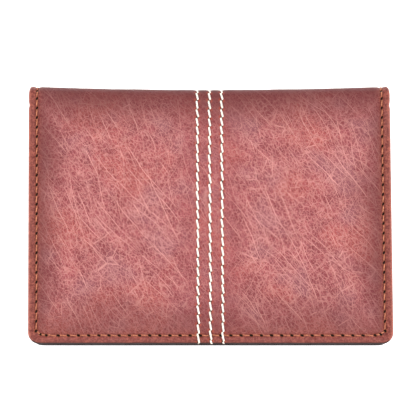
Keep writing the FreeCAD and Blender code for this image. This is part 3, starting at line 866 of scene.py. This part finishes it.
def creases(tree, space, degrees, length, spacing):
    """Long thin crease lines of one even width that run at one angle, with a gentle wander."""
    stretch = (1.0 / length, 1.0 / spacing, 0.1)
    along = tree.turned(space, math.radians(degrees), stretch)
    beside = tree.vector("ADD", along, (0.0, CREASE_STEP, 0.0))
    wave = tree.noise(along, 1.0, 1.0, 0.4)
    slope = tree.math("ABSOLUTE", tree.noise(beside, 1.0, 1.0, 0.4) - wave)
    steep = tree.smooth(slope, 0.012, 0.034)
    slope = tree.math("MAXIMUM", slope, 0.012)
    distance = tree.math("DIVIDE", tree.math("ABSOLUTE", wave - 0.5), slope)
    line = tree.smooth(distance, 0.11 / spacing / CREASE_STEP, 0.02 / spacing / CREASE_STEP)
    return line * steep


def cover_leather():
    """Waxed, crackled leather: dark red cells in a web of pale creases, darker brown towards
    every edge and the fold, partly burnished dye and partly painted shade, warmer along the
    seams, with needle holes painted near-black as shade, a painted highlight along the rounded
    rim and dark edge paint that at the free end is also painted shade."""
    tree = Tree("cover_leather")
    rest = tree.rest()
    bent = tree.warped(rest, 0.08, 2.0, 1.0)
    web_space = tree.warped(rest, 0.35, 0.8, 1.0)

    broad = tree.noise(rest, 0.05, 2.0)
    region = tree.noise(rest, 0.085, 2.0)
    patchy = tree.noise(tree.warped(rest, 0.12, 3.0), 0.2, 3.0, 0.6)
    speck = tree.noise(rest, 0.8, 2.0, 0.6)
    fine = tree.noise(rest, 1.7, 3.0, 0.7)
    finest = tree.noise(rest, 3.4, 1.0)

    cells = tree.cell_edges(web_space, 0.4)
    small_cells = tree.cell_edges(web_space, 0.8)
    falling = tree.turned(bent, math.radians(-54), (0.09, 0.26, 0.1))
    plates = tree.cell_edges(tree.turned(web_space, math.radians(-50), (0.15, 0.24, 0.1)), 1.0)
    grain_space = tree.turned(bent, math.radians(-58), (0.42, 1.1, 0.1))
    web = tree.smooth(cells, 0.036, 0.006) * tree.smooth(patchy, 0.4, 0.6) * 0.45
    falling_web = tree.smooth(tree.cell_edges(falling, 1.0), 0.016, 0.003) * 0.6
    plate_web = tree.smooth(plates, 0.024, 0.004) * tree.smooth(patchy, 0.4, 0.6) * 0.5
    fine_web = tree.smooth(tree.cell_edges(grain_space, 1.0), 0.08, 0.02) * 0.36
    web = tree.math("MAXIMUM", web, fine_web)
    web = tree.math("MAXIMUM", web, falling_web * tree.smooth(region, 0.4, 0.55))
    web = tree.math("MAXIMUM", web, plate_web)
    net = tree.smooth(small_cells, 0.08, 0.015)
    lines = web
    for degrees, length, spacing, strength in CREASE_RUNS:
        run = creases(tree, bent, degrees, length, spacing)
        shown = tree.noise(tree.turned(rest, math.radians(degrees), (0.05, 0.11, 0.1)), 1.0,
                           2.0, 0.6)
        run = run * tree.smooth(shown, 0.42, 0.58) * strength
        lines = tree.math("MAXIMUM", lines, run)
    lines = lines * (1.0 - tree.mask("strip") * 0.3)

    color = tree.mix(tree.smooth(patchy, 0.35, 0.65), COVER_COLORS["deep"], COVER_COLORS["rose"])
    color = tree.mix(tree.smooth(region, 0.47, 0.66) * 0.75, color, COVER_COLORS["mauve"])
    color = tree.mix(tree.smooth(broad, 0.47, 0.66) * 0.5, color, COVER_COLORS["orange"])
    color = tree.mix(tree.smooth(speck, 0.5, 0.7) * 0.4, color, COVER_COLORS["dark_cell"])
    color = tree.mix(tree.smooth(fine, 0.5, 0.72) * 0.7, color, COVER_COLORS["dark_cell"])
    color = tree.mix(tree.smooth(fine, 0.5, 0.3) * 0.6, color, COVER_COLORS["net"])
    color = tree.mix(tree.smooth(finest, 0.5, 0.7) * 0.45, color, COVER_COLORS["dark_cell"])
    color = tree.mix(net * (0.3 + 0.6 * patchy), color, COVER_COLORS["net"])
    color = tree.mix(lines * 0.9, color, COVER_COLORS["crease"])
    color = tree.mix(tree.mask("strip") * 0.2, color, COVER_COLORS["deep"])
    # Darker brown towards every edge and the fold: partly burnished dye, partly painted shade.
    burnish_and_shade = tree.mask("burnish_and_shade")
    color = tree.mix(burnish_and_shade * (0.65 + 0.4 * patchy), color, COVER_COLORS["burnish_and_shade"])
    band = tree.mask("seam_band")
    mottled = tree.mix(tree.smooth(fine * 0.6 + speck * 0.4, 0.36, 0.6), COVER_COLORS["band"],
                       COVER_COLORS["band_dark"])
    color = tree.mix(band * (0.35 + 0.8 * patchy), color, mottled)
    color = tree.mix(tree.mask("drag_marks") * 0.55, color, COVER_COLORS["dragged"])
    holes = tree.mask("holes")
    color = tree.mix(tree.smooth(holes, 0.01, 0.25) * 0.5, color, COVER_COLORS["hole_rim"])
    # Needle holes painted near-black: painted shade inside the holes.
    sunk = tree.math("MAXIMUM", holes, tree.mask("accent_holes"))
    color = tree.mix(tree.smooth(sunk, 0.2, 0.42), color, COVER_COLORS["hole"])
    # A painted highlight along the rounded rim.
    color = tree.mix(tree.mask("rim") * 0.18, color, COVER_COLORS["rim_highlight"])
    # Dark edge paint on the rim's side, and at the free end painted shade of the shadowed edge.
    color = tree.mix(tree.mask("rim_side"), color, COVER_COLORS["edge_paint_and_shade"])

    height = (patchy * 0.5 + fine * 0.4 - lines * 0.5 - net * 0.3
              + tree.smooth(cells, 0.0, 0.3) * 0.35 - holes * 2.0)
    normal = tree.bump(height, 0.35, 0.00022)
    rim = tree.mask("rim")
    roughness = 0.44 + 0.16 * fine + 0.1 * patchy - 0.1 * band - 0.1 * rim
    return tree.finish(color, roughness, normal, Specular_IOR_Level=0.26)


# how far apart, in line spacings, the two samples are that give a crease its even width
CREASE_STEP = 0.08
# angle, length, spacing and strength of each family of creases
CREASE_RUNS = (
    (-52.0, 45.0, 4.2, 1.0),
    (-66.0, 40.0, 3.8, 1.0),
    (-44.0, 44.0, 4.0, 0.9),
    (-76.0, 38.0, 4.4, 0.8),
    (58.0, 36.0, 5.0, 0.55),
)

COVER_COLORS = {
    "deep": srgb(128, 55, 60),
    "rose": srgb(155, 76, 80),
    "mauve": srgb(142, 87, 94),
    "orange": srgb(170, 76, 66),
    "dark_cell": srgb(98, 40, 46),
    "net": srgb(176, 114, 112),
    "crease": srgb(222, 160, 150),
    # The dark brown of the edges and fold: partly burnished dye, partly painted shade.
    "burnish_and_shade": srgb(92, 39, 38),
    "band": srgb(166, 92, 76),
    "band_dark": srgb(104, 42, 37),
    "dragged": srgb(186, 76, 48),
    "hole_rim": srgb(160, 90, 60),
    # Near-black painted shade inside the needle holes.
    "hole": srgb(12, 6, 5),
    # Painted highlight on the rounded rim.
    "rim_highlight": srgb(206, 140, 122),
    # Dark edge paint, and at the free end painted shade.
    "edge_paint_and_shade": srgb(34, 14, 14),
}


def smooth_leather(name, dark, light, grain=1.6, roughness=0.5, mouth=False):
    """Fine smooth leather for the inside: small pebbled grain and slow colour changes."""
    tree = Tree(name)
    rest = tree.rest()
    broad = tree.noise(rest, 0.07, 3.0)
    fine = tree.noise(rest, 3.0, 3.0, 0.6)
    pebbles = tree.cell_edges(tree.warped(rest, 0.8, 0.6), grain)
    grooves = tree.smooth(pebbles, 0.12, 0.0)
    color = tree.mix(tree.smooth(broad, 0.3, 0.7), dark, light)
    color = tree.mix(grooves * 0.3, color, dark)
    color = tree.mix(tree.smooth(fine, 0.55, 0.8) * 0.3, color, light)
    height = tree.smooth(pebbles, 0.0, 0.25) * 0.6 + fine * 0.3
    rough = roughness + 0.14 * fine + 0.08 * broad
    if mouth:
        _, y, _ = tree.parts(rest)
        below = tree.mask("mouth") - y
        crease = tree.smooth(tree.math("ABSOLUTE", below - 2.0), 0.45, 0.0)
        worn = tree.smooth(below, 1.0, 0.1)
        color = tree.mix(crease * 0.55, color, dark)
        color = tree.mix(worn * 0.35, color, light)
        height = height - crease * 3.0
    normal = tree.bump(height, 0.3, 0.00015)
    return tree.finish(color, rough, normal, Specular_IOR_Level=0.4)


def thread_material(name, dark, light, roughness):
    """Twisted thread: fine fibres along the plies, darker between them."""
    tree = Tree(name)
    rest = tree.rest()
    fibres = tree.noise(tree.turned(rest, 0.5, (6.0, 1.4, 6.0)), 1.0, 3.0, 0.6)
    worn = tree.noise(rest, 0.3, 2.0)
    color = tree.mix(tree.smooth(fibres, 0.3, 0.62), dark, light)
    color = tree.mix(tree.smooth(worn, 0.55, 0.8) * 0.3, color, dark)
    normal = tree.bump(fibres, 0.4, 0.00008)
    rough = roughness + 0.2 * fibres
    return tree.finish(color, rough, normal, Specular_IOR_Level=0.3, Sheen_Weight=0.15)


def board_material():
    tree = Tree("stiffener_board")
    coordinates = tree.nodes.new("ShaderNodeTexCoord")
    metres = Field(tree, coordinates.outputs["Object"])
    place_mm = tree.vector("MULTIPLY", metres, (1000.0, 1000.0, 1000.0))
    fibres = tree.noise(tree.turned(place_mm, 0.3, (0.6, 3.0, 1.0)), 1.0, 4.0, 0.65)
    blotches = tree.noise(place_mm, 0.2, 3.0)
    color = tree.mix(tree.smooth(fibres, 0.3, 0.7), srgb(128, 116, 98), srgb(166, 152, 130))
    color = tree.mix(tree.smooth(blotches, 0.5, 0.8) * 0.4, color, srgb(112, 100, 84))
    normal = tree.bump(fibres, 0.3, 0.0001)
    return tree.finish(color, 0.75 + 0.15 * fibres, normal, Specular_IOR_Level=0.2)


def floor_material():
    """A plain pale studio sweep with the faintest mottling."""
    tree = Tree("studio_floor")
    coordinates = tree.nodes.new("ShaderNodeTexCoord")
    place_m = Field(tree, coordinates.outputs["Object"])
    mottling = tree.noise(place_m, 6.0, 2.0)
    color = tree.mix(mottling * 0.2, srgb(250, 250, 250), srgb(246, 246, 247))
    normal = tree.bump(mottling, 0.02, 0.0005)
    return tree.finish(color, 0.8 + 0.1 * mottling, normal, Specular_IOR_Level=0.1,
                       Emission_Color=(1.0, 1.0, 1.0, 1.0), Emission_Strength=0.6)


# ---- the case, piece by piece ----

def bend_with_fold(piece, front):
    """Bakes the piece's transform into its mesh, the same way for either cover."""
    if front:
        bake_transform(piece)
    else:
        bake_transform(piece)


def dress(piece, material):
    piece.data.materials.clear()
    piece.data.materials.append(material)


def build_covers(materials):
    for half, front in (("front", True), ("back", False)):
        leather = leather_half(half + "_leather", front)
        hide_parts(half + "_cover_leather", "spine_leather")
        dress(leather, materials["cover"])
        bend_with_fold(leather, front)

        lining = lining_half(half + "_lining_piece", front)
        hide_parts(half + "_lining", "spine_lining")
        dress(lining, materials["lining"])
        bend_with_fold(lining, front)

        seam = edge_thread(half + "_edge_stitches", front)
        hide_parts(half + "_edge_thread", "spine_edge_thread")
        dress(seam, materials["seam_thread"])
        bend_with_fold(seam, front)

        for side in ACCENT_PLACES:
            line = accent_thread(f"{half}_accent_stitches_{side}", side, front)
            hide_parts(f"{half}_accent_thread_{side}", f"spine_accent_thread_{side}")
            dress(line, materials["accent_thread"])
            bend_with_fold(line, front)

        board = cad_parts[half + "_stiffener"]
        board.data.materials.clear()
        board.data.materials.append(materials["board"])


def build_inside(materials):
    for node, body in (("slip_pocket_panel", "back_cover"),
                       ("card_slot_rear_panel", "front_cover"),
                       ("card_slot_front_panel", "front_cover")):
        piece = panel_for(node, 0.2)
        dress(piece, materials["pocket"])
        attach(piece, body)

    front_wall = panel_for("pocket_front_panel", 0.3, corner=3.0, notch=10.0)
    dress(front_wall, materials["pocket"])
    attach(front_wall, "card_pocket")

    seam = pocket_thread("pocket_seam_stitches")
    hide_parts("pocket_seam_thread")
    dress(seam, materials["seam_thread"])
    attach(seam, "card_pocket")

    gusset = gusset_piece()
    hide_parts("pocket_gusset")
    dress(gusset, materials["gusset"])
    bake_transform(gusset)

    slip_low, slip_high = node_box("slip_pocket_panel")
    gusset_low, gusset_high = node_box("pocket_gusset")
    lining_low, lining_high = node_box("back_lining")
    steps = [(gusset_high.y, gusset_low.z + 0.5), (slip_high.y, slip_high.z),
             (HALF_LENGTH, lining_high.z)]
    seam = inner_thread("back_inner_stitches", steps, 1)
    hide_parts("back_inner_thread")
    dress(seam, materials["seam_thread"])
    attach(seam, "back_cover")

    slot_low, slot_high = node_box("card_slot_front_panel")
    rear_low, rear_high = node_box("card_slot_rear_panel")
    lining_low, lining_high = node_box("front_lining")
    steps = [(slot_high.y, slot_low.z), (rear_high.y, rear_low.z), (HALF_LENGTH, lining_low.z)]
    seam = inner_thread("front_inner_stitches", steps, -1)
    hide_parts("front_inner_thread")
    dress(seam, materials["seam_thread"])
    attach(seam, "front_cover")


def build_materials():
    return {
        "cover": cover_leather(),
        "lining": smooth_leather("lining_leather", srgb(64, 26, 24), srgb(86, 36, 33), 2.2, 0.55),
        "pocket": smooth_leather("pocket_leather", srgb(88, 36, 34), srgb(112, 50, 46), 1.5,
                                 0.46, mouth=True),
        "gusset": smooth_leather("gusset_leather", srgb(70, 28, 26), srgb(94, 40, 36), 2.0, 0.6),
        "seam_thread": thread_material("seam_thread", srgb(134, 68, 46), srgb(206, 132, 96), 0.5),
        "accent_thread": thread_material("accent_thread", srgb(214, 200, 176),
                                         srgb(255, 252, 244), 0.55),
        "board": board_material(),
    }


# ---- studio ----

def build_floor():
    size = 1.6
    mesh = bpy.data.meshes.new("studio_floor")
    corners = [(-size, -size, 0), (size, -size, 0), (size, size, 0), (-size, size, 0)]
    mesh.from_pydata(corners, [], [(0, 1, 2, 3)])
    floor = bpy.data.objects.new("studio_floor", mesh)
    bpy.context.scene.collection.objects.link(floor)
    floor.location.z = -0.02 * MM
    mesh.materials.append(floor_material())
    floor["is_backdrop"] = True


def softbox(name, location, width, depth, power, target=(0.0, 0.0, 0.0), mirrored=True):
    """An area light; one that isn't mirrored leaves no glare on leather seen edge on."""
    lamp = bpy.data.lights.new(name, "AREA")
    lamp.shape = "RECTANGLE"
    lamp.size = width
    lamp.size_y = depth
    lamp.energy = power
    item = bpy.data.objects.new(name, lamp)
    bpy.context.scene.collection.objects.link(item)
    item.location = location
    aim = Vector(target) - Vector(location)
    item.rotation_euler = aim.to_track_quat("-Z", "Y").to_euler()
    item.visible_glossy = mirrored


def build_lights():
    world = bpy.data.worlds.new("studio")
    world.use_nodes = True
    background = world.node_tree.nodes["Background"]
    background.inputs["Color"].default_value = (1.0, 1.0, 1.0, 1.0)
    background.inputs["Strength"].default_value = 0.41
    bpy.context.scene.world = world
    softbox("overhead", (0.0, 0.15, 0.9), 0.9, 0.7, 4.2)
    softbox("left_side", (-0.6, 0.0, 0.12), 0.16, 0.7, 7.0, mirrored=False)
    softbox("right_side", (0.6, 0.0, 0.12), 0.16, 0.7, 7.0, mirrored=False)
    bpy.context.scene.view_settings.view_transform = "Standard"


def build_camera():
    """Almost straight above the case, a little towards its free edge."""
    tilt = math.radians(6.0)
    distance = 0.6
    frame_width = 0.1247
    aim = Vector((-0.0002, 0.0009, HEIGHT * MM))
    camera = bpy.data.cameras.new("camera")
    camera.sensor_width = 36.0
    camera.lens = 36.0 * distance / frame_width
    camera.clip_start = 0.01
    item = bpy.data.objects.new("camera", camera)
    bpy.context.scene.collection.objects.link(item)
    item.location = aim + Vector((0.0, -math.sin(tilt), math.cos(tilt))) * distance
    item.rotation_euler = (tilt, 0.0, 0.0)
    bpy.context.scene.camera = item


materials = build_materials()
build_covers(materials)
build_inside(materials)
build_floor()
build_lights()
build_camera()
